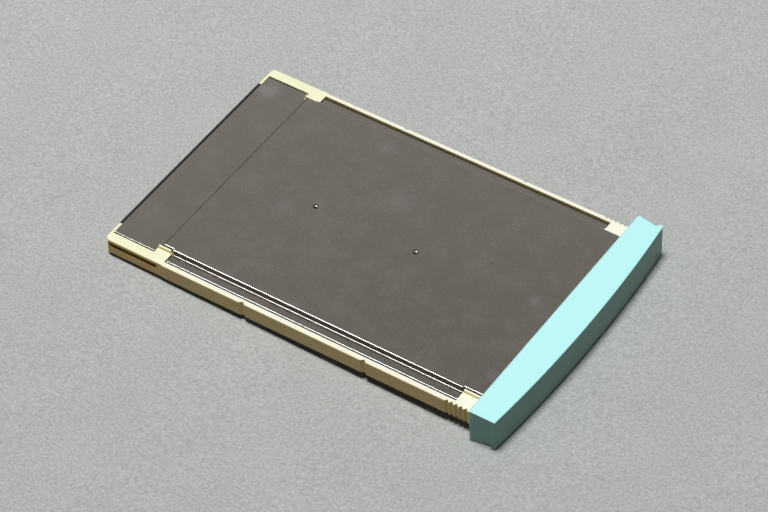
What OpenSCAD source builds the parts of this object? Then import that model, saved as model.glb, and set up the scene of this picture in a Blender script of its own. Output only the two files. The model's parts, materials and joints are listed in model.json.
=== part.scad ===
// Plug-in memory card with a grip handle.
// A moulded frame carries the circuit board and a 68-way socket between two
// pressed steel covers; the handle snaps over the rear end of the frame.
// Card axes: +X from the socket to the handle, +Y across, +Z up, and the
// mid-plane of the card half the handle thickness above the ground.

/* [Card] */
// Length from the socket face to the front of the handle
total_l = 87; // [84:0.5:92]
// Width across the guide rails
card_w = 54; // [52:0.5:56]
// Thickness at the guide rails
rail_t = 3.3; // [3.1:0.1:3.6]
// Thickness over the raised parts of the covers
raised_t = 5; // [4.7:0.1:5.6]
// Radius of the two corners at the socket end
corner_r = 1.2; // [0.5:0.1:2]
// Radius along the outer edges of the frame
edge_r = 0.2; // [0.05:0.05:0.3]

/* [Frame] */
// Wall of the frame below the raised part of a cover
inner_wall_t = 1.25; // [1:0.05:1.5]
// Width of the ledge that the circuit board lies on
ledge_w = 0.9; // [0.6:0.1:1.6]
// Length of the bar across the frame in front of the handle
crossbar_l = 4.6; // [3:0.1:6]
// Distance from the socket face to the tabs that interrupt the flange
front_tab_x = 9.8; // [8.5:0.1:10.5]
// Length of the front tabs
front_tab_l = 3.1; // [2:0.1:4]
// Length of the rear tabs, up to the handle
rear_tab_l = 4.25; // [3:0.05:6]
// Radius of a front tab's inner corner
tab_r = 0.4; // [0.2:0.05:0.8]
// Width of the raised wall on each tab
tab_wall_w = 0.4; // [0.25:0.05:0.6]
// Height of the raised wall above its tab
tab_wall_h = 0.65; // [0.3:0.05:0.75]
// Inset of the raised wall from the ends of a front tab
tab_wall_inset = 0.2; // [0.1:0.05:0.6]
// Width of the guide rail left beside the recess for the flange
rail_strip_w = 1; // [0.8:0.05:1.4]
// Width of the rail beside the cover at the socket end
end_strip_w = 2.1; // [1.9:0.05:2.4]
// Depth of the recess for the flange below the top of the rail
flange_recess = 0.25; // [0.1:0.05:0.3]
// Sideways step of both rails behind the front tabs
rail_step = 0.1; // [0.05:0.05:0.3]
// Radius of the relief at the corners of the recess
relief_r = 0.3; // [0.2:0.05:0.4]
// Depth of the relief below the cover
relief_depth = 1.2; // [0.6:0.1:1.4]

/* [Keying groove] */
// Length of the groove from the socket face
key_l = 11.6; // [8:0.1:13]
// Height of the groove
key_h = 1; // [0.8:0.1:1.4]
// Depth of the groove
key_depth = 1.5; // [0.6:0.1:1.8]
// Height of the groove's middle above the card's mid-plane
key_z = 0.5; // [0:0.05:0.7]
// Depth of the step on the opposite side
step_depth = 0.7; // [0.4:0.1:1.2]
// Height of the step on the opposite side
step_h = 1; // [0.6:0.1:1.4]

/* [Notches and ribs] */
// Distance from the socket face to the first pair of notches
notch_x = 30.8; // [24:0.1:36]
// Distance between the two pairs of notches
notch_pitch = 26.35; // [20:0.05:30]
// Width of a notch
notch_w = 1.2; // [0.8:0.1:2]
// Depth of a notch
notch_depth = 0.45; // [0.3:0.05:0.7]
// Distance from the handle to the nearest grip groove
rib_gap = 1.6; // [1.5:0.05:3]
// Grip grooves in each rail
rib_count = 5; // [3:1:6]
// Distance between grip grooves
rib_pitch = 0.99; // [0.9:0.01:1.2]
// Width of a grip groove
rib_w = 0.72; // [0.5:0.01:0.85]
// Depth of a grip groove
rib_depth = 0.4; // [0.2:0.05:0.6]

/* [Covers] */
// Thickness of the steel sheet
sheet_t = 0.15; // [0.15:0.01:0.2]
// Distance from the socket face to the edge of a cover
lip_l = 0.6; // [0.4:0.05:0.8]
// Distance from the socket face to the step across the cover
step_x = 10.1; // [9:0.1:11]
// Length of the sloping step
step_l = 0.8; // [0.4:0.05:1.2]
// Clearance beside the cover at the socket end
end_cover_c = 0.3; // [0.1:0.05:0.4]
// Radius of the cover's corners beside the front tabs
cover_corner_r = 0.35; // [0.1:0.05:0.6]
// Clearance beside the edge of a flange
flange_c = 0.5; // [0.1:0.05:0.7]
// Clearance between a cover and the walls and ends of the tabs
tab_c = 0.2; // [0.1:0.05:0.4]
// Narrowing of the raised part beside the tabs
cut_inset = 0.35; // [0.3:0.05:0.6]
// Width of a flange, from its edge to the raised part
flange_l = 2.05; // [1.6:0.05:2.2]
// Draft of the raised part's sides, in degrees
raised_draft = 2; // [0:1:15]
// Radius along the top of the raised part
raised_r = 0.2; // [0.15:0.05:0.5]
// Radius along the foot of the raised part
foot_r = 0.12; // [0.05:0.01:0.4]
// Radius along the edges of the cover
roll_r = 0.14; // [0.05:0.01:0.14]
// Depth of the dimples pressed into the cover
dimple_depth = 0.3; // [0.15:0.05:0.5]
// Radius at the mouth of a dimple
dimple_r = 0.55; // [0.4:0.05:0.9]
// Distance from the socket face to the first dimple
dimple_x = 28.5; // [24:0.1:32]
// Distance between the two dimples
dimple_pitch = 22; // [18:0.5:26]
// Thickness of the bonding film below each cover
bond_t = 0.1; // [0.05:0.01:0.12]
// Thickness of the insulating film inside each cover
film_t = 0.08; // [0.05:0.01:0.12]
// Inset of the insulating film from the side of the raised part
film_inset = 0.9; // [0.5:0.05:1.5]
// Radius of the hole in the insulating film at each dimple
film_hole_r = 1.75; // [1.2:0.05:2.5]
// Length of the cover that is tucked into the handle
tuck_l = 0.9; // [0.5:0.1:1.5]

/* [Handle] */
// Length of the handle at its middle
handle_l = 6.65; // [5.8:0.05:8]
// Reach of the handle beyond each guide rail
handle_side_t = 1.5; // [1.2:0.1:2.5]
// Thickness of the handle at its rear edge
handle_t = 7.5; // [7:0.1:8.5]
// Thickness of the handle at its front face
handle_front_t = 7; // [6.4:0.1:8]
// Radius of the bowed front face, seen from above
front_r = 300; // [200:10:500]
// Radius of the front face's upper and lower edges
front_edge_r = 0.5; // [0.2:0.05:0.8]
// Bulge of the rear face at its mid-height
rear_bulge = 0.45; // [0.1:0.05:0.8]
// Radius of the handle's corners
handle_corner_r = 0.45; // [0.3:0.05:1]
// Chamfer along the handle's rear edges
handle_chamfer = 0.2; // [0.1:0.05:0.4]
// Inset of the plain flank at the front face
plain_inset = 0.15; // [0.05:0.05:0.4]
// Inward taper of the grip flanks
flank_taper = 0.55; // [0.2:0.05:0.7]
// Outward reach of the ear beyond the tapered flank
ear_reach = 0.8; // [0.5:0.05:1]
// Length of the ear
ear_l = 1; // [0.7:0.05:1.5]
// Length of the ear's sloping root
ear_slope = 0.2; // [0.1:0.05:0.4]
// Length of the frame's tongue inside the handle
tongue_l = 3.8; // [3:0.1:4.4]
// Clearance around the tongue
fit_c = 0.05; // [0.02:0.01:0.1]
// Reach of the snap noses beyond the rails
snap_reach = 0.5; // [0.3:0.05:0.6]
// Length of the snap noses
snap_l = 1.4; // [1:0.1:1.6]
// Height of the snap noses
snap_h = 2.2; // [1.4:0.1:2.6]
// Distance from the handle's rear edge to the snap noses
snap_gap = 1.5; // [1:0.1:2]

/* [Socket] */
// Distance between contacts in a row, and between the rows
contact_pitch = 1.27; // [1.2:0.01:1.27]
// Least width of the housing beyond the end contacts of a row
housing_end_w = 0.5; // [0.3:0.05:0.6]
// Depth of the socket housing
housing_l = 9.3; // [8:0.1:9.4]
// Diameter of the pin holes
pin_hole_d = 0.62; // [0.5:0.01:0.7]
// Diameter of the lead-in at each pin hole
lead_in_d = 1; // [0.8:0.05:1.1]
// Thickness of the housing's front wall
front_wall_t = 1.3; // [1:0.1:2]
// Side of the square cavity behind each pin hole
cavity_s = 0.8; // [0.7:0.02:0.86]
// Width of a contact
contact_w = 0.5; // [0.3:0.05:0.6]
// Thickness of the contact strip
contact_t = 0.18; // [0.12:0.01:0.22]
// Half the gap between a contact's arms where they grip the pin
contact_pinch = 0.17; // [0.1:0.01:0.2]
// Distance from the front wall to the tips of the arms
contact_tip_c = 0.25; // [0.1:0.05:0.5]
// Length of the arms' flare ahead of the grip
contact_flare_l = 0.7; // [0.5:0.05:1]
// Length of the arms' slope behind the grip
contact_slope_l = 0.9; // [0.6:0.05:1.5]
// Distance from the socket face to the contacts' root
contact_root_x = 5.1; // [4.6:0.1:6]
// Length of the contacts' root
contact_root_l = 1.5; // [1:0.1:2]
// Length of a contact's tail on the board
contact_tail_l = 1.6; // [1:0.1:2.5]

/* [Circuit board] */
// Thickness of the circuit board
board_t = 0.8; // [0.6:0.1:1]
// Clearance around the circuit board
board_c = 0.15; // [0.05:0.05:0.3]
// Clear board between the contacts' tails and the logic chips
logic_c = 6; // [4:0.1:8]
// Clear board between the front capacitors and the flash chips
flash_c = 3.2; // [1:0.1:4]
// Distance of the flash chips' middle from the centre line
flash_y = 11.4; // [9:0.1:13]
// Distance between the logic chips
logic_pitch = 10.4; // [8:0.1:12]
// Clear board behind the last row of small parts
rear_margin = 1.5; // [0.5:0.1:3]
// Clear board between the rows of small parts
row_c = 1; // [0.6:0.1:2]
// Distance between the small parts in a row
small_pitch = 6.8; // [5:0.1:7]
// Distance of the reference memory and the supply monitor from the centre line
small_y = 8; // [5:0.5:12]
// Distance of the tantalum capacitors from the centre line
tantalum_y = 5; // [3:0.5:12]

/* [Chips] */
// Height of the chips
chip_h = 1; // [0.8:0.05:1]
// Slope of a chip's sides, seen from the end
chip_draft = 0.15; // [0.05:0.01:0.2]
// Gap between a chip and the board
standoff = 0.05; // [0.05:0.01:0.1]
// Length of a flash chip without its leads
flash_l = 18.4; // [14:0.1:18.4]
// Width of a flash chip
flash_w = 8; // [8:0.5:12]
// Leads on each end of a flash chip
flash_leads = 16; // [10:1:16]
// Distance between a flash chip's leads
flash_pitch = 0.5; // [0.4:0.05:0.5]
// Width of a flash chip's leads
flash_lead_w = 0.2; // [0.15:0.01:0.25]
// Length of a logic chip without its leads
logic_l = 4.4; // [4:0.1:5.4]
// Width of a logic chip
logic_w = 6.5; // [6.5:0.1:7.8]
// Leads on each side of a logic chip
logic_leads = 10; // [7:1:10]
// Distance between the leads of the logic chips and the reference memory
logic_lead_pitch = 0.65; // [0.5:0.05:0.65]
// Width of the leads of the logic chips and the reference memory
logic_lead_w = 0.24; // [0.2:0.01:0.3]
// Width of the reference memory
eeprom_w = 3; // [3:0.1:5]
// Leads on each side of the reference memory
eeprom_leads = 4; // [3:1:4]
// Length of the supply monitor without its leads
monitor_l = 1.6; // [1.2:0.1:2]
// Width of the supply monitor
monitor_w = 2.9; // [2.9:0.1:3.2]
// Leads on each side of the supply monitor
monitor_leads = 3; // [2:1:3]
// Distance between the supply monitor's leads
monitor_pitch = 0.95; // [0.65:0.05:0.95]
// Width of the supply monitor's leads
monitor_lead_w = 0.4; // [0.3:0.05:0.5]
// Reach of a lead beyond its chip
lead_reach = 0.8; // [0.7:0.05:1]
// Length of a lead's shoulder beside its chip
lead_shoulder = 0.25; // [0.1:0.05:0.3]
// Length of a lead's sloping bend
lead_bend = 0.1; // [0.05:0.01:0.15]
// Thickness of a lead
lead_t = 0.13; // [0.1:0.01:0.2]
// Height at which a lead leaves its chip
lead_z = 0.45; // [0.3:0.05:0.6]

/* [Small parts] */
// Length of a bypass capacitor along the card
capacitor_l = 0.8; // [0.5:0.1:1.2]
// Width of a bypass capacitor
capacitor_w = 1.6; // [1:0.1:2]
// Height of a bypass capacitor
capacitor_h = 0.8; // [0.5:0.1:0.9]
// Length of a resistor array along the card
array_l = 1.6; // [1.2:0.1:2]
// Width of a resistor array
array_w = 3.2; // [2:0.1:4]
// Height of a resistor array
array_h = 0.6; // [0.4:0.1:0.9]
// Length of a tantalum capacitor along the card
tantalum_l = 2.8; // [2:0.1:3.5]
// Width of a tantalum capacitor
tantalum_w = 3.5; // [2:0.1:4.5]
// Height of a tantalum capacitor
tantalum_h = 1.2; // [0.8:0.1:1.3]
// Length of a ground spring
spring_l = 4; // [3:0.1:5]
// Width of a ground spring
spring_w = 1.2; // [0.8:0.1:1.6]
// Thickness of a ground spring
spring_t = 0.12; // [0.08:0.01:0.15]

/* [Hidden] */
$fn = 48;
eps = 0.01;
slack = 0.02;           // running gap between parts that nearly touch
over = 2;               // how far blanks run past the edge that trims them
far = 200;              // longer than the card, for cutters

// Heights above the card's mid-plane
rail_z = rail_t / 2;
raised_z = raised_t / 2;
flange_z = rail_z - flange_recess;              // top of the flange
end_z = rail_z - slack;                         // top of the cover at the end
floor_z = flange_z - sheet_t - bond_t;          // frame below the flange
end_floor_z = end_z - sheet_t - bond_t;         // frame below the end cover
inner_z = raised_z - sheet_t;                   // inside of the raised part
board_z = board_t / 2;

// Widths, from the guide rails inwards
end_cover_w = card_w - 2 * (end_strip_w + end_cover_c);
flange_w = card_w - 2 * (rail_strip_w + flange_c);
raised_w = flange_w - 2 * flange_l;
cut_w = raised_w - 2 * cut_inset;               // raised part beside the tabs
slot_w = cut_w + 2 * tab_c;                     // between the walls of the tabs
bar_w = cut_w - 2 * (sheet_t / cos(raised_draft) + (inner_z - flange_z) * tan(raised_draft) + fit_c);
rail_w = card_w - rail_step;
window_w = raised_w - 2 * inner_wall_t;
housing_w = window_w - 2 * fit_c;
board_w = window_w - 2 * board_c;
handle_w = card_w + 2 * handle_side_t;
contact_count = floor((housing_w - 2 * housing_end_w) / contact_pitch);

// Places along the card
rear_x = total_l - handle_l;                    // rear edge of the handle
front_tab_end = front_tab_x + front_tab_l;
rear_tab_x = rear_x - rear_tab_l;
crossbar_x = rear_x - crossbar_l;
frame_end = rear_x + tongue_l;
cover_end = rear_x + tuck_l;
board_x0 = housing_l + board_c;
board_x1 = crossbar_x - board_c;
snap_x = rear_x + snap_gap;

// Rows of parts on the board, the last three set out from its rear edge
logic_x = board_x0 + contact_tail_l + logic_c + lead_reach + logic_l / 2;
front_row_x = logic_x + logic_l / 2 + lead_reach + row_c + capacitor_l / 2;
flash_x = front_row_x + capacitor_l / 2 + flash_c + lead_reach + flash_l / 2;
middle_row_x = flash_x + flash_l / 2 + lead_reach + row_c + capacitor_l / 2;
tantalum_x = board_x1 - rear_margin - tantalum_l / 2;
small_x = tantalum_x - tantalum_l / 2 - row_c - lead_reach - logic_l / 2;
array_x = small_x - logic_l / 2 - lead_reach - row_c - array_l / 2;

cream = "#efe6c0";
steel = "#8f8982";
teal = "#5fbdb6";
black = "#26272a";
gold = "#c9a24a";
board_green = "#2f6b45";
film_amber = "#b5752f";
tin = "#b9bcc0";
epoxy = "#33343a";
ceramic = "#b59a76";
tantalum = "#c98a2e";

// Points along an arc
function arc(c, r, a0, a1, n = 6) =
    [for (i = [0 : n]) c + r * [cos(a0 + (a1 - a0) * i / n), sin(a0 + (a1 - a0) * i / n)]];

// Puts the card's own frame into the part's frame
module place() {
    translate([-total_l / 2, 0, handle_t / 2]) children();
}

// An (x, z) outline drawn out across the card, centred on y
module across(w) {
    translate([0, w / 2, 0]) rotate([90, 0, 0]) linear_extrude(w) children();
}

// A (y, z) outline drawn out along the card from x0 to x1
module along(x0, x1) {
    translate([x0, 0, 0]) rotate([90, 0, 90]) linear_extrude(x1 - x0) children();
}

module box(x0, x1, w, z0, z1) {
    translate([x0, -w / 2, z0]) cube([x1 - x0, w, z1 - z0]);
}

// The sliver between a corner at the origin and a radius in it, towards +X and +Y
module corner(r) {
    difference() {
        translate([-eps, -eps]) square(r + eps);
        translate([r, r]) circle(r);
    }
}

// The same box on both sides of the card, from y0 out to y1
module side_boxes(x0, x1, y0, y1, z0, z1) {
    for (m = [0, 1]) mirror([0, m, 0])
        translate([x0, y0, z0]) cube([x1 - x0, y1 - y0, z1 - z0]);
}

module both_faces() {
    for (m = [0, 1]) mirror([0, 0, m]) children();
}

// ---------- frame ----------

module rail_outline() {
    difference() {
        translate([0, -card_w / 2]) square([frame_end, card_w]);
        for (m = [0, 1]) mirror([0, m]) {
            // the socket end lies one step towards +Y, the rest of the rails one towards -Y
            translate([0, card_w / 2 - m * rail_step]) rotate(-90) corner(corner_r);
            edge = card_w / 2 - (1 - m) * rail_step;
            for (i = [0, 1]) translate([notch_x + i * notch_pitch, edge]) notch_shape(notch_w, notch_depth);
            for (i = [0 : rib_count - 1]) translate([rear_x - rib_gap - i * rib_pitch, edge])
                notch_shape(rib_w, rib_depth);
        }
    }
}

// A rounded V, open towards +Y
module notch_shape(w, d) {
    tip_r = d * 0.45;
    polygon(concat([[-w / 2 - tip_r / 2, eps], [-w / 2, 0]],
        arc([0, tip_r - d], tip_r, 220, 320, 8), [[w / 2, 0], [w / 2 + tip_r / 2, eps]]));
}

// A rectangle about the origin with rounded corners
module rounded(w, h, r) {
    difference() {
        square([w, h], center = true);
        for (i = [0, 1], j = [0, 1]) mirror([i, 0]) mirror([0, j])
            translate([w / 2, h / 2]) rotate(180) corner(r);
    }
}

module frame_blank() {
    intersection() {
        translate([0, 0, -rail_z]) linear_extrude(rail_t) rail_outline();
        union() {
            along(0, front_tab_end) translate([rail_step / 2, 0]) rounded(rail_w, rail_t, edge_r);
            along(front_tab_end, frame_end) translate([-rail_step / 2, 0]) rounded(rail_w, rail_t, edge_r);
        }
        across(card_w) translate([frame_end / 2, 0]) rounded(frame_end, rail_t, edge_r);
    }
}

// The end of the cover's recess in plan, up to the front tabs
module end_seat() {
    translate([lip_l, end_strip_w - card_w / 2]) square([front_tab_x - lip_l, card_w - 2 * end_strip_w]);
    translate([lip_l, -slot_w / 2]) square([step_x + step_l - lip_l, slot_w]);
    for (m = [0, 1]) mirror([0, m]) translate([front_tab_x, slot_w / 2]) corner(tab_r);
}

// The recess in one face for the cover, its flanges and the film below
module cover_seat() {
    box(front_tab_end, rear_tab_x, card_w - 2 * rail_strip_w, floor_z, far);
    translate([0, 0, end_floor_z]) linear_extrude(far) end_seat();
    for (s = [[step_x, front_tab_end + eps], [rear_tab_x - eps, cover_end + tab_c]])
        side_boxes(s[0], s[1], bar_w / 2, slot_w / 2, end_floor_z, far);
}

// Relief where the recess ends at a tab corner
module seat_relief() {
    for (m = [0, 1]) mirror([0, m, 0])
        translate([front_tab_x - relief_r, card_w / 2 - end_strip_w - relief_r, rail_z - relief_depth])
            cylinder(r = relief_r, h = far);
}

// The raised wall on each tab, beside the raised part of the cover
module tab_walls() {
    for (s = [[front_tab_x, front_tab_end], [rear_tab_x, cover_end]])
        side_boxes(s[0] + tab_wall_inset, s[1] - tab_wall_inset, slot_w / 2 - eps,
            slot_w / 2 + tab_wall_w, 0, rail_z + tab_wall_h);
}

module snap_noses(grow) {
    for (m = [0, 1]) mirror([0, m, 0])
        translate([snap_x, card_w / 2, -snap_h / 2 - grow]) linear_extrude(snap_h + 2 * grow)
            polygon([[-grow, -2 * rail_step], [-grow, snap_reach + grow], [snap_l / 3, snap_reach + grow],
                [snap_l + grow, grow / 2], [snap_l + grow, -2 * rail_step]]);
}

module frame() {
    color(cream) place() {
        difference() {
            union() {
                frame_blank();
                both_faces() tab_walls();
                box(crossbar_x, frame_end, bar_w, -inner_z + slack, inner_z - slack);
                snap_noses(0);
            }
            both_faces() cover_seat();
            both_faces() seat_relief();
            // bay of the socket, open at the end
            box(-eps, housing_l + eps, housing_w + 2 * fit_c, -far, far);
            // bay of the circuit board
            box(housing_l, crossbar_x, window_w - 2 * ledge_w, -far, far);
            box(housing_l, crossbar_x, window_w, -board_z, far);
            key_cuts();
        }
    }
}

// The groove on one rail and the step on the other that make the card fit one way round
module key_cuts() {
    translate([-eps, -card_w / 2 - eps, key_z - key_h / 2])
        cube([key_l + eps, key_depth + rail_step + eps, key_h]);
    translate([-eps, card_w / 2 - step_depth, -rail_z - eps])
        cube([key_l + eps, far, step_h + eps]);
}

// ---------- covers ----------

// The raised part's cross-section, w wide at its foot, drawn inset by t
module raised_section(w, t) {
    r = raised_r - t;
    top = raised_z - t;
    foot = w / 2 - t / cos(raised_draft);
    // centre of the top radius, r inside both the side and the top
    c = [foot - (top - r - flange_z) * tan(raised_draft) - r / cos(raised_draft), top - r];
    for (m = [0, 1]) mirror([m, 0]) {
        polygon([[0, 0], [foot + flange_z * tan(raised_draft), 0],
            c + r * [cos(raised_draft), sin(raised_draft)], c, [c[0], top], [0, top]]);
        translate(c) circle(r);
    }
}

// The fillets between the flanges and the raised part's sides, drawn inset by t
module foot_section(t) {
    r = foot_r + t;
    c = [raised_w / 2 + foot_r * (1 / cos(raised_draft) - tan(raised_draft)), flange_z + foot_r];
    side = c - r * [cos(raised_draft), sin(raised_draft)];
    for (m = [0, 1]) mirror([m, 0]) difference() {
        polygon([c, side, [side[0], 0], [c[0], 0]]);
        translate(c) circle(r);
    }
}

// A flat stretch's cross-section with its top at z and rounded upper edges
module flat_section(w, z) {
    difference() {
        translate([-w / 2, 0]) square([w, z]);
        for (m = [0, 1]) mirror([m, 0]) translate([w / 2, z]) rotate(180) corner(roll_r);
    }
}

// The cover from the side: low at the socket end, then up the step
module step_section(t) {
    a = atan2(raised_z - end_z, step_l);
    shift = t * tan(a / 2);
    polygon([[-far, -far], [-far, end_z - t], [step_x + shift, end_z - t],
        [step_x + step_l + shift, raised_z - t], [far, raised_z - t], [far, -far]]);
}

// The cover as a solid block drawn inset by t
module cover_form(t) {
    intersection() {
        along(lip_l - t, cover_end + t) raised_section(cut_w, t);
        across(far) step_section(t);
    }
    along(front_tab_end + tab_c + t, rear_tab_x - tab_c - t) {
        raised_section(raised_w, t);
        foot_section(t);
    }
}

// What lies below the sheet
module underside() {
    box(-far, far, far, -far, flange_z - sheet_t);
    box(-far, front_tab_end + tab_c, far, -far, end_z - sheet_t);
    box(rear_tab_x - tab_c, far, far, -far, end_z - sheet_t);
}

// The flat end of the cover in plan
module end_plan() {
    x1 = front_tab_x - tab_c;
    difference() {
        translate([lip_l, -end_cover_w / 2]) square([x1 - lip_l, end_cover_w]);
        for (m = [0, 1]) mirror([0, m]) translate([x1, end_cover_w / 2]) rotate(180) corner(cover_corner_r);
    }
    for (m = [0, 1]) mirror([0, m]) translate([x1, cut_w / 2]) corner(tab_r + tab_c);
}

module cover_blank() {
    difference() {
        union() {
            cover_form(0);
            along(front_tab_end + tab_c, rear_tab_x - tab_c) flat_section(flange_w, flange_z);
            intersection() {
                along(0, front_tab_end) flat_section(end_cover_w, end_z);
                linear_extrude(end_z) end_plan();
            }
        }
        cover_form(sheet_t);
        underside();
    }
}

module dimples_at() {
    for (i = [0, 1]) translate([dimple_x + i * dimple_pitch, 0, 0]) children();
}

// The sphere that presses a dimple into the sheet, grown by t
module dimple_ball(t) {
    ball = (dimple_r * dimple_r + dimple_depth * dimple_depth) / (2 * dimple_depth);
    translate([0, 0, raised_z + ball - dimple_depth]) sphere(r = ball + t);
}

module cover() {
    difference() {
        union() {
            cover_blank();
            dimples_at() intersection() {
                dimple_ball(sheet_t);
                translate([0, 0, raised_z - far]) cylinder(r = dimple_r + sheet_t, h = far - eps);
            }
        }
        dimples_at() dimple_ball(0);
    }
}

module top_cover() {
    color(steel) place() cover();
}

module bottom_cover() {
    color(steel) place() mirror([0, 0, 1]) cover();
}

// The film that glues a cover to the frame: under both flanges and the end
module bonding_film() {
    side_boxes(front_tab_end + fit_c, rear_tab_x - fit_c, raised_w / 2 + foot_r,
        card_w / 2 - rail_strip_w - fit_c, floor_z, floor_z + bond_t);
    box(lip_l + fit_c, front_tab_x - 2 * relief_r - fit_c, card_w - 2 * (end_strip_w + fit_c),
        end_floor_z, end_floor_z + bond_t);
}

module top_bonding_film() {
    color(film_amber) place() bonding_film();
}

module bottom_bonding_film() {
    color(film_amber) place() mirror([0, 0, 1]) bonding_film();
}

// The film inside a cover, with a hole at each dimple
module insulating_film() {
    difference() {
        box(step_x + step_l + raised_r, crossbar_x - 2 * fit_c, raised_w - 2 * film_inset,
            inner_z - film_t, inner_z);
        dimples_at() cylinder(r = film_hole_r, h = far);
    }
}

module top_insulating_film() {
    color(film_amber) place() insulating_film();
}

module bottom_insulating_film() {
    color(film_amber) place() mirror([0, 0, 1]) insulating_film();
}

// A leaf soldered to the board that presses on the inside of a dimple
module ground_spring() {
    top = inner_z - dimple_depth - slack;
    rise = top - board_z;
    across(spring_w) polygon([[-spring_l / 2, board_z], [-spring_l / 4, board_z],
        [-spring_l / 8, top - spring_t], [spring_l / 8, top - spring_t],
        [spring_l / 2, top - rise / 2 - spring_t], [spring_l / 2, top - rise / 2],
        [spring_l / 8 + spring_t / 2, top], [-spring_l / 8 - spring_t, top],
        [-spring_l / 4 - spring_t, board_z + spring_t], [-spring_l / 2, board_z + spring_t]]);
}

module top_ground_springs() {
    color(gold) place() dimples_at() ground_spring();
}

module bottom_ground_springs() {
    color(gold) place() mirror([0, 0, 1]) dimples_at() ground_spring();
}

// ---------- handle ----------

// The bowed front face with its rounded edges, turned about a far-off axis
module handle_front() {
    crown = handle_front_t / 2 + slack;
    back = [front_r - handle_l - rear_bulge - over, handle_t];
    top = concat(arc([front_r - front_edge_r, crown - front_edge_r], front_edge_r, 0, 90, 5), [back]);
    bottom = [for (i = [len(top) - 1 : -1 : 0]) [top[i][0], -top[i][1]]];
    half_angle = asin(handle_w / 2 / front_r) + 1;
    translate([total_l - front_r, 0, 0]) rotate([0, 0, -half_angle])
        rotate_extrude(angle = 2 * half_angle, $fn = 360) polygon(concat(top, bottom));
}

// The handle from the side: flat sloping grip faces and a rear face that bulges at mid-height
module handle_side() {
    h = handle_t / 2;
    c = handle_chamfer;
    polygon([[rear_x - rear_bulge, 0], [rear_x - c / 4, h - c], [rear_x + c, h],
        [total_l, handle_front_t / 2], [total_l, -handle_front_t / 2],
        [rear_x + c, -h], [rear_x - c / 4, c - h]]);
}

// The +Y end of the handle in plan with a plain flank, from the rear to the front
function plain_end() =
    let (y = handle_w / 2, bow = y * y / (2 * front_r), x1 = total_l - bow, r = handle_corner_r)
    concat([[rear_x - over, y - r - over], [rear_x, y - r]], arc([rear_x + r, y - r], r, 180, 90, 6),
        arc([x1 - r, y - plain_inset - r], r, 90, 30, 5), [[total_l + over, y - r - over]]);

// The same end with a tapered flank and an ear
function eared_end() =
    let (y = handle_w / 2, bow = y * y / (2 * front_r), x1 = total_l - bow, r = handle_corner_r,
        x0 = x1 - ear_l, root = y - flank_taper, tip_r = ear_l * 0.35)
    concat([[rear_x - over, y - r - over], [rear_x, y - r]], arc([rear_x + r, y - r], r, 180, 90, 6),
        [[x0 - ear_slope / 2, root], [x0 + ear_slope / 2, root + ear_reach - tip_r]],
        arc([x0 + tip_r + ear_slope / 2, root + ear_reach - tip_r], tip_r, 150, 30, 5),
        [[total_l + over, root - over]]);

// An end's outline drawn up, its flank leaning from y0 at the ground to y1 at the top
module leaning_end(points, y0, y1) {
    h = handle_t / 2;
    intersection() {
        translate([0, 0, -h]) linear_extrude(2 * h)
            polygon(concat(points, [[total_l + over, -over], [rear_x - over, -over]]));
        along(rear_x - over, total_l + over) polygon([[-over, -h], [y0, -h], [y1, h], [-over, h]]);
    }
}

// The +Y end: eared at the top, running out into the plain flank at the ground
module handle_end() {
    plain = handle_w / 2 - plain_inset;
    root = handle_w / 2 - flank_taper;
    leaning_end(plain_end(), handle_w / 2 + eps, root);
    leaning_end(eared_end(), plain, root + ear_reach);
}

// The pocket for the rear end of the card
module handle_pocket() {
    box(rear_x - over, frame_end + fit_c, card_w + 2 * fit_c, -rail_z - fit_c, rail_z + fit_c);
    box(rear_x - over, frame_end + fit_c, slot_w + 2 * (tab_wall_w + fit_c), -raised_z - fit_c, raised_z + fit_c);
    snap_noses(fit_c);
}

module handle() {
    color(teal) place() difference() {
        intersection() {
            handle_front();
            across(far) handle_side();
            union() {
                handle_end();
                mirror([0, 1, 0]) mirror([0, 0, 1]) handle_end();
            }
        }
        handle_pocket();
    }
}

// ---------- socket ----------

function row_y(i) = (i - (contact_count - 1) / 2) * contact_pitch;

module each_contact() {
    for (i = [0 : contact_count - 1]) translate([0, row_y(i), contact_pitch / 2]) children();
}

module pin_hole() {
    rotate([0, 90, 0]) {
        translate([0, 0, -eps]) cylinder(d = pin_hole_d, h = front_wall_t + 2 * eps, $fn = 24);
        translate([0, 0, -eps])
            cylinder(d1 = lead_in_d, d2 = pin_hole_d, h = (lead_in_d - pin_hole_d) / 2, $fn = 24);
    }
    translate([front_wall_t, -cavity_s / 2, -cavity_s / 2]) cube([far, cavity_s, cavity_s]);
}

module socket_housing() {
    color(black) place() difference() {
        union() {
            box(0, housing_l, housing_w, -end_floor_z + slack, end_floor_z - slack);
            box(0, lip_l - slack, housing_w, -end_z, end_z);
        }
        both_faces() each_contact() pin_hole();
    }
}

// A two-armed contact: arms that grip the pin, a root held in the cavity
// and a tail that lies on the board
module contact() {
    c = cavity_s / 2 - slack;
    tip = front_wall_t + contact_tip_c;
    grip = tip + contact_flare_l;
    arm = grip + contact_slope_l;
    root = contact_root_x + contact_root_l;
    tail_z = board_z - contact_pitch / 2;
    tail_x = board_x0 + contact_tail_l;
    upper = [[contact_root_x, c], [arm, c], [grip, contact_pinch + contact_t], [tip, c - slack],
        [tip, c - contact_t], [grip, contact_pinch], [arm + contact_t / 2, c - contact_t],
        [contact_root_x, c - contact_t]];
    lower = [for (i = [len(upper) - 1 : -1 : 1]) [upper[i][0], -upper[i][1]]];
    across(contact_w) polygon(concat(upper, lower, [[root, -c], [root, tail_z], [tail_x, tail_z],
        [tail_x, tail_z + contact_t], [root, tail_z + contact_t], [root, c]]));
}

module upper_contacts() {
    color(gold) place() each_contact() contact();
}

module lower_contacts() {
    color(gold) place() mirror([0, 0, 1]) each_contact() contact();
}

// ---------- circuit board ----------

module circuit_board() {
    color(board_green) place() box(board_x0, board_x1, board_w, -board_z, board_z);
}

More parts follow.
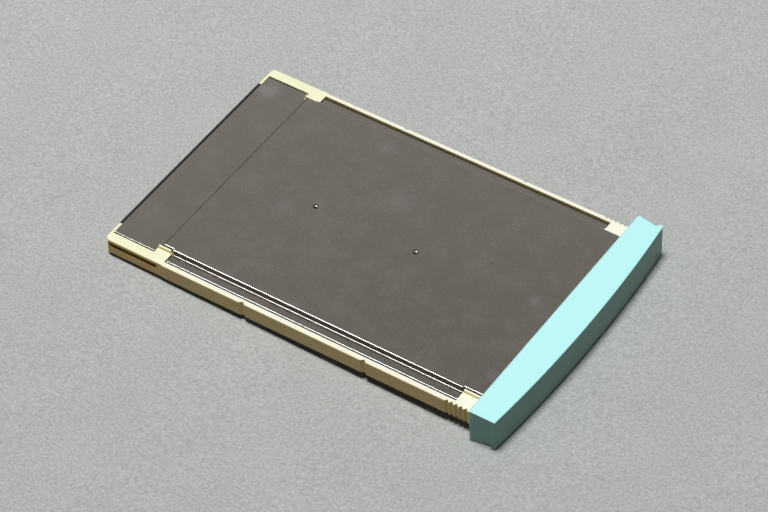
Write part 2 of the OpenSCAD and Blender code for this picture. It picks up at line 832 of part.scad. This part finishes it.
// A moulded chip body, l along the card and w across it, with sloping sides
module chip_body(l, w) {
    translate([0, 0, board_z + standoff]) intersection() {
        across(w) chip_outline(l);
        rotate([0, 0, 90]) across(l) chip_outline(w);
    }
}

module chip_outline(w) {
    foot = w / 2 - chip_draft;
    polygon([[-foot, 0], [foot, 0], [w / 2, chip_h / 2],
        [foot, chip_h], [-foot, chip_h], [-w / 2, chip_h / 2]]);
}

// A gull-wing lead that leaves the body at the origin towards +X
module lead(w) {
    knee = lead_shoulder + lead_bend;
    across(w) polygon([[0, lead_z], [lead_shoulder, lead_z], [knee, 0], [lead_reach, 0], [lead_reach, lead_t],
        [knee + lead_bend, lead_t], [knee, lead_z + lead_t], [0, lead_z + lead_t]]);
}

// Leads on both ends of a body of length l
module chip_leads(l, count, pitch, w) {
    for (m = [0, 1]) mirror([m, 0, 0]) for (i = [0 : count - 1])
        translate([l / 2, (i - (count - 1) / 2) * pitch, board_z]) lead(w);
}

// side 1 or -1 across the card, face 0 above the board or 1 below it
module flash_at(side, face) {
    mirror([0, 0, face]) translate([flash_x, side * flash_y, 0]) children();
}

module flash_chip(side, face) {
    color(epoxy) place() flash_at(side, face) chip_body(flash_l, flash_w);
}

module flash_chip_leads() {
    color(tin) place() for (side = [-1, 1], face = [0, 1])
        flash_at(side, face) chip_leads(flash_l, flash_leads, flash_pitch, flash_lead_w);
}

// Three logic chips in a row: a decoder between two data buffers
module logic_at(i) {
    translate([logic_x, i * logic_pitch, 0]) children();
}

module logic_chip_leads() {
    chip_leads(logic_l, logic_leads, logic_lead_pitch, logic_lead_w);
}

module address_decoder() {
    color(epoxy) place() logic_at(0) chip_body(logic_l, logic_w);
}

module address_decoder_leads() {
    color(tin) place() logic_at(0) logic_chip_leads();
}

module data_buffers() {
    color(epoxy) place() for (i = [-1, 1]) logic_at(i) chip_body(logic_l, logic_w);
}

module data_buffer_leads() {
    color(tin) place() for (i = [-1, 1]) logic_at(i) logic_chip_leads();
}

module attribute_memory() {
    color(epoxy) place() translate([small_x, -small_y, 0]) chip_body(logic_l, eeprom_w);
}

module attribute_memory_leads() {
    color(tin) place() translate([small_x, -small_y, 0])
        chip_leads(logic_l, eeprom_leads, logic_lead_pitch, logic_lead_w);
}

module supply_monitor() {
    color(epoxy) place() translate([small_x, small_y, 0]) chip_body(monitor_l, monitor_w);
}

module supply_monitor_leads() {
    color(tin) place() translate([small_x, small_y, 0])
        chip_leads(monitor_l, monitor_leads, monitor_pitch, monitor_lead_w);
}

module on_board(x, y, l, w, h) {
    translate([x - l / 2, y - w / 2, board_z]) cube([l, w, h]);
}

module bypass_capacitors() {
    color(ceramic) place() for (i = [-2.5 : 2.5], x = [front_row_x, middle_row_x])
        on_board(x, i * small_pitch, capacitor_l, capacitor_w, capacitor_h);
}

module resistor_arrays() {
    color(black) place() for (i = [-1.5 : 1.5])
        on_board(array_x, i * small_pitch, array_l, array_w, array_h);
}

module tantalum_capacitors() {
    color(tantalum) place() for (i = [-1, 1])
        on_board(tantalum_x, i * tantalum_y, tantalum_l, tantalum_w, tantalum_h);
}

frame();
top_cover();
bottom_cover();
handle();
socket_housing();
upper_contacts();
lower_contacts();
circuit_board();
top_bonding_film();
bottom_bonding_film();
top_insulating_film();
bottom_insulating_film();
top_ground_springs();
bottom_ground_springs();
flash_chip(1, 0);  // flash_chip_top_left
flash_chip(-1, 0);  // flash_chip_top_right
flash_chip(1, 1);  // flash_chip_bottom_left
flash_chip(-1, 1);  // flash_chip_bottom_right
flash_chip_leads();
address_decoder();
address_decoder_leads();
data_buffers();
data_buffer_leads();
attribute_memory();
attribute_memory_leads();
supply_monitor();
supply_monitor_leads();
bypass_capacitors();
resistor_arrays();
tantalum_capacitors();
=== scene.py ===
import json
import math

import bmesh
import bpy
from mathutils import Euler, Matrix, Vector


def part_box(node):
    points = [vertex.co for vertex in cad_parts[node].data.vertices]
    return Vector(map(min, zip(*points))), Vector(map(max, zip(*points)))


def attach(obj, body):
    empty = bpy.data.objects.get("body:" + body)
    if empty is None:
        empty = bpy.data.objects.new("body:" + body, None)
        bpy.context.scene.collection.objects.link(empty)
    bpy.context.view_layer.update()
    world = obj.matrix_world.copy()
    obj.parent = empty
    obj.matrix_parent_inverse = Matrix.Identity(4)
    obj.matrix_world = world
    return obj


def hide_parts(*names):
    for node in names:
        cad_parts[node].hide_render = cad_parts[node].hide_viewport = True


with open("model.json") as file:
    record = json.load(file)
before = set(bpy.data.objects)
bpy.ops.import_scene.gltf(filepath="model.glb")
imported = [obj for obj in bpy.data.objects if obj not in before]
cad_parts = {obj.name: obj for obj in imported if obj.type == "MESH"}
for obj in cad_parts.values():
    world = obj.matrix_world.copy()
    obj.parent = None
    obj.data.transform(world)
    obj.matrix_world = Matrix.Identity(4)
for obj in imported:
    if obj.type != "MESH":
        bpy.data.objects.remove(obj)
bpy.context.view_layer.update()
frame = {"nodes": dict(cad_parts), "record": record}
MM = 0.001


# ---------- node trees ----------

class Tree:
    """Adds nodes to a tree; a value in `inputs` that is a socket is linked, any other is set."""

    def __init__(self, tree):
        self.tree = tree

    def fill(self, node, inputs):
        for key, value in inputs.items():
            if isinstance(value, bpy.types.NodeSocket):
                self.tree.links.new(value, node.inputs[key])
            else:
                node.inputs[key].default_value = value

    def add(self, kind, inputs=None, **settings):
        node = self.tree.nodes.new(kind)
        for key, value in settings.items():
            setattr(node, key, value)
        self.fill(node, inputs or {})
        return node

    def math(self, operation, a, b=0.0, clamp=False):
        return self.add("ShaderNodeMath", {0: a, 1: b}, operation=operation, use_clamp=clamp).outputs[0]

    def span(self, value, low, high, to_low=0.0, to_high=1.0, smooth=False):
        node = self.add("ShaderNodeMapRange", {"Value": value, "From Min": low, "From Max": high,
                        "To Min": to_low, "To Max": to_high})
        if smooth:
            node.interpolation_type = "SMOOTHSTEP"
        return node.outputs["Result"]

    def every(self, *masks):
        """The product of two or more masks."""
        product = masks[0]
        for mask in masks[1:]:
            product = self.math("MULTIPLY", product, mask)
        return product

    def near(self, value, middle, reach):
        """1 where a value is closer to a middle than the reach."""
        return self.math("LESS_THAN", self.math("ABSOLUTE", self.math("SUBTRACT", value, middle)), reach)

    def mix(self, factor, a, b, blend_type="MIX"):
        # sockets 0, 6 and 7 are the factor and the two colours; output 2 is the colour
        return self.add("ShaderNodeMix", {0: factor, 6: a, 7: b}, data_type="RGBA", blend_type=blend_type).outputs[2]

    def scaled(self, colour, by):
        return self.add("ShaderNodeVectorMath", {0: colour, 3: by}, operation="SCALE").outputs[0]

    def split(self, vector):
        return self.add("ShaderNodeSeparateXYZ", {0: vector}).outputs

    def noise(self, vector, scale, detail=2.0, roughness=0.5):
        return self.add("ShaderNodeTexNoise", {"Vector": vector, "Scale": scale, "Detail": detail,
                        "Roughness": roughness}).outputs["Fac"]

    def seen(self):
        """1 on rays that the camera follows, straight or by a mirror; 0 on rays that only carry light."""
        paths = self.add("ShaderNodeLightPath").outputs
        return self.math("MAXIMUM", paths["Is Camera Ray"],
                         self.math("MAXIMUM", paths["Is Glossy Ray"], paths["Is Transmission Ray"]))


def shader_group(name, inputs, outputs):
    """An empty shader node group with its named inputs and outputs."""
    tree = bpy.data.node_groups.new(name, "ShaderNodeTree")
    for label, kind, value in inputs:
        socket = tree.interface.new_socket(name=label, in_out="INPUT", socket_type="NodeSocket" + kind)
        if value is not None:
            socket.default_value = value
    for label, kind in outputs:
        tree.interface.new_socket(name=label, in_out="OUTPUT", socket_type="NodeSocket" + kind)
    return Tree(tree), tree.nodes.new("NodeGroupInput").outputs, tree.nodes.new("NodeGroupOutput").inputs


def fine_grain():
    """Spark-eroded or cast grain, as a height from 0 to 1."""
    t, given, out = shader_group("fine_grain", [("Vector", "Vector", None), ("Grain", "Float", 6000.0)],
                                 [("Height", "Float")])
    coarse = t.noise(given["Vector"], given["Grain"], 3.0, 0.6)
    fine = t.noise(given["Vector"], t.math("MULTIPLY", given["Grain"], 3.1), 2.0, 0.5)
    t.tree.links.new(t.math("ADD", t.math("MULTIPLY", coarse, 0.65), t.math("MULTIPLY", fine, 0.35)), out["Height"])
    return t.tree


def sheet_grain():
    """Dull cold-rolled skin: a height drawn out a little along X, and a mottle from 0 to 1."""
    t, given, out = shader_group("sheet_grain", [("Vector", "Vector", None), ("Grain", "Float", 5000.0),
                                 ("Stretch", "Float", 0.4)], [("Height", "Float"), ("Mottle", "Float")])
    stretch = t.add("ShaderNodeCombineXYZ", {"X": given["Stretch"], "Y": 1.0, "Z": 1.0}).outputs[0]
    along = t.add("ShaderNodeVectorMath", {0: given["Vector"], 1: stretch}, operation="MULTIPLY").outputs[0]
    t.tree.links.new(t.noise(along, given["Grain"], 3.0, 0.65), out["Height"])
    t.tree.links.new(t.noise(given["Vector"], t.math("MULTIPLY", given["Grain"], 0.7), 3.0, 0.7), out["Mottle"])
    return t.tree


def smudges():
    """Soft cloudy patches such as fingers leave; 1 inside a patch."""
    t, given, out = shader_group("smudges", [("Vector", "Vector", None), ("Size", "Float", 60.0),
                                 ("Threshold", "Float", 0.5), ("Softness", "Float", 0.2)], [("Mask", "Float")])
    cloud = t.noise(given["Vector"], given["Size"], 4.0, 0.62)
    high = t.math("ADD", given["Threshold"], given["Softness"])
    t.tree.links.new(t.span(cloud, given["Threshold"], high, smooth=True), out["Mask"])
    return t.tree


def rubbed_spot():
    """One cloudy spot around a centre; 1 in its middle, with a broken edge."""
    t, given, out = shader_group("rubbed_spot", [("Vector", "Vector", None), ("Centre", "Vector", None),
                                 ("Reach", "Float", 0.003), ("Break-up", "Float", 900.0)], [("Mask", "Float")])
    between = t.add("ShaderNodeVectorMath", {0: given["Vector"], 1: given["Centre"]}, operation="DISTANCE")
    away = between.outputs["Value"]
    cloud = t.span(t.noise(given["Vector"], given["Break-up"], 3.0, 0.6), 0.25, 0.75, 0.35, 1.15)
    body = t.span(t.math("DIVIDE", away, given["Reach"]), 0.0, 1.0, 1.0, 0.0, smooth=True)
    t.tree.links.new(t.math("MULTIPLY", body, cloud, clamp=True), out["Mask"])
    return t.tree


def specks():
    """Scattered dust; 1 on a speck. Share is the part of the cells that hold one."""
    t, given, out = shader_group("specks", [("Vector", "Vector", None), ("Cells", "Float", 700.0),
                                 ("Radius", "Float", 0.12), ("Share", "Float", 0.2)], [("Mask", "Float")])
    cells = t.add("ShaderNodeTexVoronoi", {"Vector": given["Vector"], "Scale": given["Cells"]})
    picked = t.math("LESS_THAN", t.add("ShaderNodeSeparateColor", {"Color": cells.outputs["Color"]}).outputs[0],
                    given["Share"])
    spot = t.span(cells.outputs["Distance"], given["Radius"], t.math("MULTIPLY", given["Radius"], 0.5), smooth=True)
    t.tree.links.new(t.math("MULTIPLY", spot, picked), out["Mask"])
    return t.tree


def seat_painted_shade():
    """Where painted shade goes in the seats below the covers' edges: 1 inside the given half sizes."""
    t, given, out = shader_group("seat_painted_shade", [("Vector", "Vector", None), ("Half width", "Float", 0.026),
                                 ("Mid height", "Float", 0.00375), ("Half height", "Float", 0.0016),
                                 ("Start", "Float", -0.0428)], [("Mask", "Float")])
    x, y, z = t.split(given["Vector"])
    inside = t.math("LESS_THAN", t.math("ABSOLUTE", y), given["Half width"])
    low = t.near(z, given["Mid height"], given["Half height"])
    behind = t.math("GREATER_THAN", x, given["Start"])
    t.tree.links.new(t.every(inside, low, behind), out["Mask"])
    return t.tree


def tone():
    """Mixes a second colour in where a slow cloud is thick."""
    t, given, out = shader_group("tone", [("Vector", "Vector", None), ("Base", "Color", None),
                                 ("Second", "Color", None), ("Size", "Float", 200.0), ("Amount", "Float", 0.5)],
                                 [("Color", "Color")])
    cloud = t.span(t.noise(given["Vector"], given["Size"], 3.0, 0.55), 0.3, 0.7)
    t.tree.links.new(t.mix(t.math("MULTIPLY", cloud, given["Amount"], clamp=True), given["Base"], given["Second"]),
                     out["Color"])
    return t.tree


GRAIN, SHEET, SMUDGES, SPOT, SPECKS = fine_grain(), sheet_grain(), smudges(), rubbed_spot(), specks()
SEAT_PAINTED_SHADE, TONE = seat_painted_shade(), tone()


# ---------- finishes ----------

def rgb(hexcode):
    """An sRGB hex colour as linear RGBA."""
    channels = [int(hexcode[i:i + 2], 16) / 255 for i in (0, 2, 4)]
    return [c / 12.92 if c <= 0.04045 else ((c + 0.055) / 1.055) ** 2.4 for c in channels] + [1.0]


class Finish(Tree):
    """A material with a Principled BSDF whose constants sit on its own sockets."""

    def __init__(self, name, **constants):
        self.material = bpy.data.materials.new(name)
        self.material.use_nodes = True
        super().__init__(self.material.node_tree)
        self.tree.nodes.clear()
        self.shader = self.add("ShaderNodeBsdfPrincipled", {k.replace("_", " "): v for k, v in constants.items()})
        out = self.add("ShaderNodeOutputMaterial")
        self.tree.links.new(self.shader.outputs[0], out.inputs["Surface"])
        self.place = self.add("ShaderNodeTexCoord").outputs["Object"]

    def group(self, tree, **inputs):
        node = self.add("ShaderNodeGroup", node_tree=tree)
        self.fill(node, {"Vector": self.place, **inputs})
        return node.outputs

    def feed(self, socket, value):
        self.tree.links.new(value, self.shader.inputs[socket])

    def lean(self):
        """The surface's normal as X, Y and Z."""
        return self.split(self.add("ShaderNodeNewGeometry").outputs["Normal"])

    def bump(self, height, distance):
        inputs = {"Height": height, "Distance": distance, "Strength": 1.0}
        return self.add("ShaderNodeBump", inputs).outputs["Normal"]


def moulded_plastic(name, base, second, shaded_sides, rough, soil=(0.3, 0.25, 0.15, 1.0), shades=None, **constants):
    """Injection-moulded plastic: slow colour drift, painted shade on the side faces, fine spark grain, dust and rub.
    """
    f = Finish(name, IOR=1.49, **constants)
    colour = f.group(TONE, Base=base, Second=second, Size=140.0, Amount=0.6)["Color"]
    # painted shade: faces that stand up take the darker, warmer side colour, as if lit only by bounce light
    level = f.span(f.math("ABSOLUTE", f.lean()[2]), 0.55, 0.95, smooth=True)
    darker_shaded_sides = [c * 0.94 for c in shaded_sides[:3]] + [1.0]
    colour = f.mix(level, f.group(TONE, Base=shaded_sides, Second=darker_shaded_sides, Size=160.0, Amount=0.8)["Color"], colour)
    if shades:
        colour = shades(f, colour)
    dust = f.group(SPECKS, Cells=900.0, Radius=0.1, Share=0.05)["Mask"]
    f.feed("Base Color", f.mix(f.math("MULTIPLY", dust, 0.35), colour, soil))
    rub = f.group(SMUDGES, Size=110.0, Threshold=0.45, Softness=0.25)["Mask"]
    f.feed("Roughness", f.span(rub, 0.0, 1.0, rough, rough - 0.09))
    f.feed("Normal", f.bump(f.group(GRAIN, Grain=5000.0)["Height"], 0.004 * MM))
    return f.material


def frame_tones_and_painted_shade(f, colour):
    """The frame's own tones: yellowed at the socket end, painted shade in the keying groove and in the seats, and
    painted warm bounce light on the lower lip beside the groove.
    """
    x, y, z = f.split(f.place)
    yellowed = f.span(x, -34.0 * MM, -26.0 * MM, 1.0, 0.0)
    colour = f.mix(yellowed, colour, [0.98, 0.99, 0.83, 1.0], blend_type="MULTIPLY")
    beside_groove = f.math("LESS_THAN", x, GROOVE_END * MM)
    groove_shade = f.near(z, GROOVE_MIDDLE * MM, GROOVE_HALF * MM)
    on_grooved_side = f.math("LESS_THAN", y, 0.0)
    # painted shade inside the keying groove, on the grooved side
    colour = f.mix(f.every(groove_shade, beside_groove, on_grooved_side), colour, [0.5, 0.33, 0.09, 1.0])
    # painted light: a warm bounce colour on the lower lip below the groove, on the grooved side
    warm_bounce = f.span(z, 3.7 * MM, 3.8 * MM, 0.6, 0.0)
    outer = f.math("LESS_THAN", y, GROOVE_FLOOR * MM)
    colour = f.mix(f.every(warm_bounce, beside_groove, outer), colour, [0.98, 0.74, 0.3, 1.0])
    # painted shade: the seats below the covers' edges, seen in the gaps, take a darker, warmer colour
    return f.mix(f.group(SEAT_PAINTED_SHADE, **SEAT_SHADE_REACH)["Mask"], colour, [0.88, 0.74, 0.3, 1.0])


def stainless_sheet(name, base, second):
    """Stainless sheet: dull mottled skin, slow cloudiness, rubbed spots and dust, with painted highlights on the
    bends, painted shade on the drafted walls, along the fold and in the dimples.
    """
    f = Finish(name, Metallic=1.0)
    skin = f.group(SHEET, Grain=9000.0)
    haze = f.group(SMUDGES, Size=190.0, Threshold=0.4, Softness=0.3)["Mask"]
    dust = f.group(SPECKS, Cells=330.0, Radius=0.07, Share=0.1)["Mask"]
    colour = f.group(TONE, Base=base, Second=second, Size=70.0, Amount=1.0)["Color"]
    colour = f.mix(f.math("MULTIPLY", haze, 0.36), colour, [0.69, 0.63, 0.565, 1.0])
    along = f.split(f.place)[0]
    colour = painted_bend_light_and_wall_shade(f, colour, along)
    for centre, reach, amount in RUBS:
        spot = f.group(SPOT, Centre=[c * MM for c in centre], Reach=reach * MM)["Mask"]
        colour = f.mix(f.math("MULTIPLY", spot, amount), colour, [0.93, 0.93, 0.9486, 1.0])
    # painted shade: the hollow of each dimple is darkened almost to black
    for centre in PIT_SHADES:
        pit_shade = f.group(SPOT, Centre=[c * MM for c in centre], Reach=0.62 * MM, **{"Break-up": 0.0})["Mask"]
        colour = f.mix(f.math("MULTIPLY", pit_shade, 3.0), colour, [0.02, 0.02, 0.0204, 1.0])
    # painted shade along the fold across the covers
    fold_shade = f.span(f.math("ABSOLUTE", f.math("SUBTRACT", along, FOLD * MM)), 0.36 * MM, 0.5 * MM, 0.42, 0.0)
    colour = f.mix(fold_shade, colour, [0.1, 0.09, 0.08, 1.0])
    colour = f.mix(f.math("MULTIPLY", dust, 0.6), colour, [0.95, 0.93, 0.9, 1.0])
    f.feed("Base Color", f.scaled(colour, f.span(skin["Mottle"], 0.25, 0.75, 0.74, 1.26)))
    f.feed("Roughness", f.span(haze, 0.0, 1.0, 0.23, 0.26))
    f.feed("Normal", f.bump(skin["Height"], 0.0002 * MM))
    return f.material


def painted_bend_light_and_wall_shade(f, colour, along):
    """Paints light and shade on the pressings: painted shade darkens the drafted walls, and painted highlights
    brighten the bends between them and the flats on the side towards -Y, less in front of the fold.
    """
    lean = f.lean()
    level = f.math("ABSOLUTE", lean[2])
    # painted shade: the drafted walls are darkened as if they mirrored a dark room
    colour = f.mix(f.span(level, 0.8, 0.84, 1.0, 0.0), colour, [0.27, 0.235, 0.2, 1.0])
    below_flat = f.span(level, 0.995, 0.97, 0.0, 1.0)
    above_wall = f.span(level, 0.8, 0.86, 0.0, 1.0)
    to_grooved_side = f.span(lean[1], 0.05, -0.05, 0.0, 1.0)
    behind_fold = f.span(along, -33.2 * MM, -32.6 * MM, 0.2, 1.0)
    # painted highlights along the bends, on the side towards -Y
    return f.mix(f.every(below_flat, above_wall, to_grooved_side, behind_fold), colour, [0.97, 0.96, 0.95, 1.0])


def glazed(name, base, second, rough, metallic=0.0):
    """Small electronic parts: even colour with a fine grain."""
    f = Finish(name, Metallic=metallic)
    f.feed("Base Color", f.group(TONE, Base=base, Second=second, Size=900.0, Amount=0.6)["Color"])
    height = f.group(GRAIN, Grain=9000.0)["Height"]
    f.feed("Roughness", f.span(height, 0.2, 0.8, rough - 0.05, rough + 0.05))
    f.feed("Normal", f.bump(height, 0.001 * MM))
    return f.material


# places on the covers and the frame, in millimetres from the part's origin
# centre, reach and strength of each rubbed place, then a point beside the middle of each dimple, which painted shade
# darkens
RUBS = [((-40.9, 21.6, 6.1), 3.4, 0.9), ((-12.6, 19.9, 6.2), 3.2, 0.3), ((-19.6, -3.3, 6.2), 3.6, 0.3),
        ((-2.7, 9.5, 6.2), 5.0, 0.2), ((31.8, 1.3, 6.2), 2.2, 0.5), ((35.2, -18.2, 6.2), 2.0, 0.5)]
PIT_SHADES = [(x + 0.2, -0.3, z) for x in (-15.0, 7.0) for z in (6.1, 1.4)]
FOLD = -32.95             # middle of the fold across the covers
GROOVE_END = -31.8        # rear end of the keying groove
GROOVE_MIDDLE = 4.25      # height of its middle
GROOVE_HALF = 0.51        # half its height, and a little over
GROOVE_FLOOR = -25.3      # its floor across the card
# painted shade in the seats: inside the rails' edge strips, below the rails' faces, behind the front lip
SEAT_SHADE_REACH = {"Half width": 26.02 * MM, "Mid height": 3.75 * MM, "Half height": 1.61 * MM, "Start": -42.85 * MM}

FINISHES = {
    "cream_plastic": moulded_plastic("cream_plastic", [0.97, 0.96, 0.80, 1.0], [0.95, 0.93, 0.76, 1.0],
                                     [0.95, 0.78, 0.39, 1.0], 0.46, shades=frame_tones_and_painted_shade),
    "teal_plastic": moulded_plastic("teal_plastic", [0.54, 0.97, 0.965, 1.0], [0.52, 0.95, 0.945, 1.0],
                                    [0.37, 0.80, 0.81, 1.0], 0.4, Specular_IOR_Level=0.35),
    "stainless_sheet": stainless_sheet("stainless_sheet", [0.62, 0.56, 0.495, 1.0], [0.59, 0.535, 0.475, 1.0]),
    "black_plastic": moulded_plastic("black_plastic", rgb("1c1b1a"), rgb("262524"), rgb("1c1b1a"), 0.5,
                                     soil=(0.2, 0.2, 0.2, 1.0)),
    "gold_contact": glazed("gold_contact", rgb("d9a94e"), rgb("c99a40"), 0.22, 1.0),
    "board_green": glazed("board_green", rgb("2f6b45"), rgb("3b7a50"), 0.35),
    "amber_film": glazed("amber_film", rgb("b5752f"), rgb("a5682a"), 0.3),
    "black_epoxy": glazed("black_epoxy", rgb("2a2b2e"), rgb("343538"), 0.6),
    "tin_lead": glazed("tin_lead", rgb("b9bcc0"), rgb("a8abb0"), 0.35, 1.0),
    "tan_ceramic": glazed("tan_ceramic", rgb("b59a76"), rgb("a88c68"), 0.5),
    "tantalum_epoxy": glazed("tantalum_epoxy", rgb("c98a2e"), rgb("bd7f28"), 0.45),
}
# the bonding film is painted near black, as painted shade in the gaps where it shows between the covers and the
# frame
SHADED_FILM = glazed("shaded_bonded_film", rgb("2e2b18"), rgb("383420"), 0.5)

for part in frame["record"]["subparts"]:
    node = frame["nodes"][part["node"]]
    finish = SHADED_FILM if "bonding" in part["node"] else FINISHES[part["material_slot"]]
    node.data.materials.clear()
    node.data.materials.append(finish)


# ---------- visible mouldings and pressings ----------

def ramp(value, start, length):
    """0 before the start, 1 from a length past it, even between."""
    return min(max((value - start) / length, 0), 1)


def crisp_grip(vertices, low, high):
    """Tightens the radius along the handle's bowed front edges and leans its near flank in."""
    bow, length = 300.0 * MM, 6.65 * MM         # radius of the bowed front, and the length its faces slope over
    drop = 0.25 * MM                            # fall of each face over that length
    radius, tight = 0.5 * MM, 0.14 * MM         # the front edges' radius, as it is and as it becomes
    blend = 0.62 * MM                           # the faces move this far behind the front
    middle = (low.z + high.z) / 2

    def face_at(x):
        return high.z - middle - drop * (x - high.x + length) / length

    for vertex in vertices:
        x, y, z = vertex.co
        front = high.x - (bow - math.sqrt(bow * bow - y * y))
        behind = front - x
        side = 1 if z > middle else -1
        below = face_at(x) - abs(z - middle)
        if behind < blend and below < radius * 1.1:
            near = min(behind, radius) * tight / radius
            behind = near + max(behind - radius, 0) * (blend - tight) / (blend - radius)
            x = front - behind
            vertex.co = (x, y, middle + side * (face_at(x) - below * tight / radius))
        if y < low.y + 1.4 * MM:
            # the near flank leans in towards the ground and the front, and its ear with it
            x, y, z = vertex.co
            down = (high.z - z) / (high.z - low.z)
            along = ramp(x, high.x - 6.2 * MM, 4.8 * MM)
            ear = ramp(x, high.x - 2.4 * MM, 0.4 * MM)
            vertex.co.y = y + down * (0.37 * along + 0.28 * ear) * MM


def dressed(name, slot, change=None):
    """A merged copy of a CAD part, shaded round over its radii and flat elsewhere."""
    mesh = frame["nodes"][name].data.copy()
    mesh.name = name + "_dressed"
    shape = bmesh.new()
    shape.from_mesh(mesh)
    bmesh.ops.remove_doubles(shape, verts=shape.verts, dist=0.001 * MM)
    if change:
        change(shape.verts, *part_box(name))
    bmesh.ops.dissolve_limit(shape, angle_limit=math.radians(0.3), verts=shape.verts, edges=shape.edges)
    shape.to_mesh(mesh)
    shape.free()
    for layer in ("custom_normal", "sharp_face", "sharp_edge"):
        if layer in mesh.attributes:
            mesh.attributes.remove(mesh.attributes[layer])
    mesh.shade_smooth()
    mesh.set_sharp_from_angle(angle=math.radians(40))
    piece = bpy.data.objects.new(name + "_dressed", mesh)
    bpy.context.scene.collection.objects.link(piece)
    weighted = piece.modifiers.new("rounded shading", "WEIGHTED_NORMAL")
    weighted.keep_sharp = True
    plain = bpy.data.meshes.new_from_object(piece.evaluated_get(bpy.context.evaluated_depsgraph_get()))
    piece.modifiers.clear()
    piece.data = plain
    plain.materials.clear()
    plain.materials.append(FINISHES[slot])
    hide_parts(name)
    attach(piece, "root")
    return piece


dressed("top_cover", "stainless_sheet")
dressed("bottom_cover", "stainless_sheet")
dressed("frame", "cream_plastic")
dressed("handle", "teal_plastic", crisp_grip)


# ---------- floor, light and camera ----------

# the card lies on two edges, so the ground below it slopes a little
cover_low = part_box("bottom_cover")[0]
handle_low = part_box("handle")[0]
toe = Vector((cover_low.x + 10.4 * MM, 0, cover_low.z))     # edge behind the lower cover's fold
heel = Vector((handle_low.x + 0.65 * MM, 0, handle_low.z))  # rear edge of the handle
slope = (heel.z - toe.z) / (heel.x - toe.x)


def floor_finish():
    """Pale cast board with a fine tooth, a faint drift of colour and painted light that grows away from the camera.
    """
    f = Finish("pale_floor", Roughness=0.85)
    colour = f.group(TONE, Base=rgb("b4b7b3"), Second=rgb("afb2ae"), Size=60.0, Amount=1.0)["Color"]
    cool = f.span(f.noise(f.place, 420.0, 2.0, 0.5), 0.35, 0.65)
    colour = f.mix(f.math("MULTIPLY", cool, 0.3), colour, rgb("b3b4b8"))
    fine = f.span(f.noise(f.place, 1900.0, 4.0, 0.75), 0.28, 0.72, 0.72, 1.28)
    x, y, _ = f.split(f.place)
    # painted light: the board is painted paler away from the camera, along (-0.577, 0.816)
    painted_light_away = f.math("SUBTRACT", f.math("MULTIPLY", y, 0.816), f.math("MULTIPLY", x, 0.577))
    fine = f.math("MULTIPLY", fine, f.span(painted_light_away, -0.03, 0.12, 1.0, 1.13))
    # light that bounces off the board is dimmer and warmer than the board looks
    f.feed("Base Color", f.mix(f.seen(), [0.185, 0.155, 0.115, 1.0], f.scaled(colour, fine)))
    return f.material


FLOOR_REACH = 3.0
floor_mesh = bpy.data.meshes.new("floor")
corners = [(x * FLOOR_REACH, y * FLOOR_REACH) for x, y in ((-1, -1), (1, -1), (1, 1), (-1, 1))]
floor_mesh.from_pydata([(x, y, toe.z + slope * (x - toe.x)) for x, y in corners], [], [(0, 1, 2, 3)])
floor_mesh.materials.append(floor_finish())
floor = bpy.data.objects.new("floor", floor_mesh)
bpy.context.scene.collection.objects.link(floor)


def soft_lamp(name, direction, distance, width, length, power, diffuse=True, glossy=True):
    """A soft box that faces the card from a direction; its length runs along X."""
    data = bpy.data.lights.new(name, "AREA")
    data.shape, data.size, data.size_y, data.energy = "ELLIPSE", length, width, power
    lamp = bpy.data.objects.new(name, data)
    z = Vector(direction).normalized()
    lamp.location = z * distance
    x = (Vector((1, 0, 0)) - z * z.x).normalized()
    lamp.rotation_euler = Matrix((x, z.cross(x), z)).transposed().to_euler()
    lamp.visible_diffuse, lamp.visible_glossy = diffuse, glossy
    bpy.context.scene.collection.objects.link(lamp)


# one lamp lights the card, the other only shows in the bends of its covers
soft_lamp("overhead", (-0.05, -0.06, 1.0), 1.5, 0.42, 0.42, 22.3, glossy=False)
soft_lamp("glint", (-0.404, -0.06, 0.912), 1.5, 0.6, 0.6, 7.4, diffuse=False)

world = bpy.data.worlds.new("room")
bpy.context.scene.world = world
world.use_nodes = True
room = Tree(world.node_tree)
room.tree.nodes.clear()
camera_ray = room.add("ShaderNodeLightPath").outputs["Is Camera Ray"]
fill = room.add("ShaderNodeBackground", {"Color": (1, 1, 1, 1), "Strength": 0.015}).outputs[0]
_, across, height = room.split(room.add("ShaderNodeTexCoord").outputs["Generated"])
low = room.math("MULTIPLY", room.span(height, 0.64, 0.79, 0.355, 0.075), room.span(across, -0.4, 0.2, 0.8, 1.0))
horizon = room.math("MULTIPLY", camera_ray, 0.25)
high = room.span(height, 0.82, 1.0, 0.0, 0.3, smooth=True)
backdrop = room.add("ShaderNodeBackground", {"Color": (0.99, 1.0, 0.99, 1),
                    "Strength": room.math("ADD", room.math("ADD", low, high), horizon)}).outputs[0]
both = room.add("ShaderNodeMixShader", {0: room.seen(), 1: fill, 2: backdrop}).outputs[0]
room.tree.links.new(both, room.add("ShaderNodeOutputWorld").inputs["Surface"])

lens = bpy.data.cameras.new("camera")
lens.lens, lens.sensor_width = 175.7, 36.0
lens.clip_start, lens.clip_end = 0.02, 20.0
camera = bpy.data.objects.new("camera", lens)
camera.location = (0.27748, -0.39243, 0.49168)
camera.rotation_euler = Euler([math.radians(a) for a in (44.403, 1.436, 33.801)])
bpy.context.scene.collection.objects.link(camera)
bpy.context.scene.camera = camera
bpy.context.scene.view_settings.view_transform = "Standard"
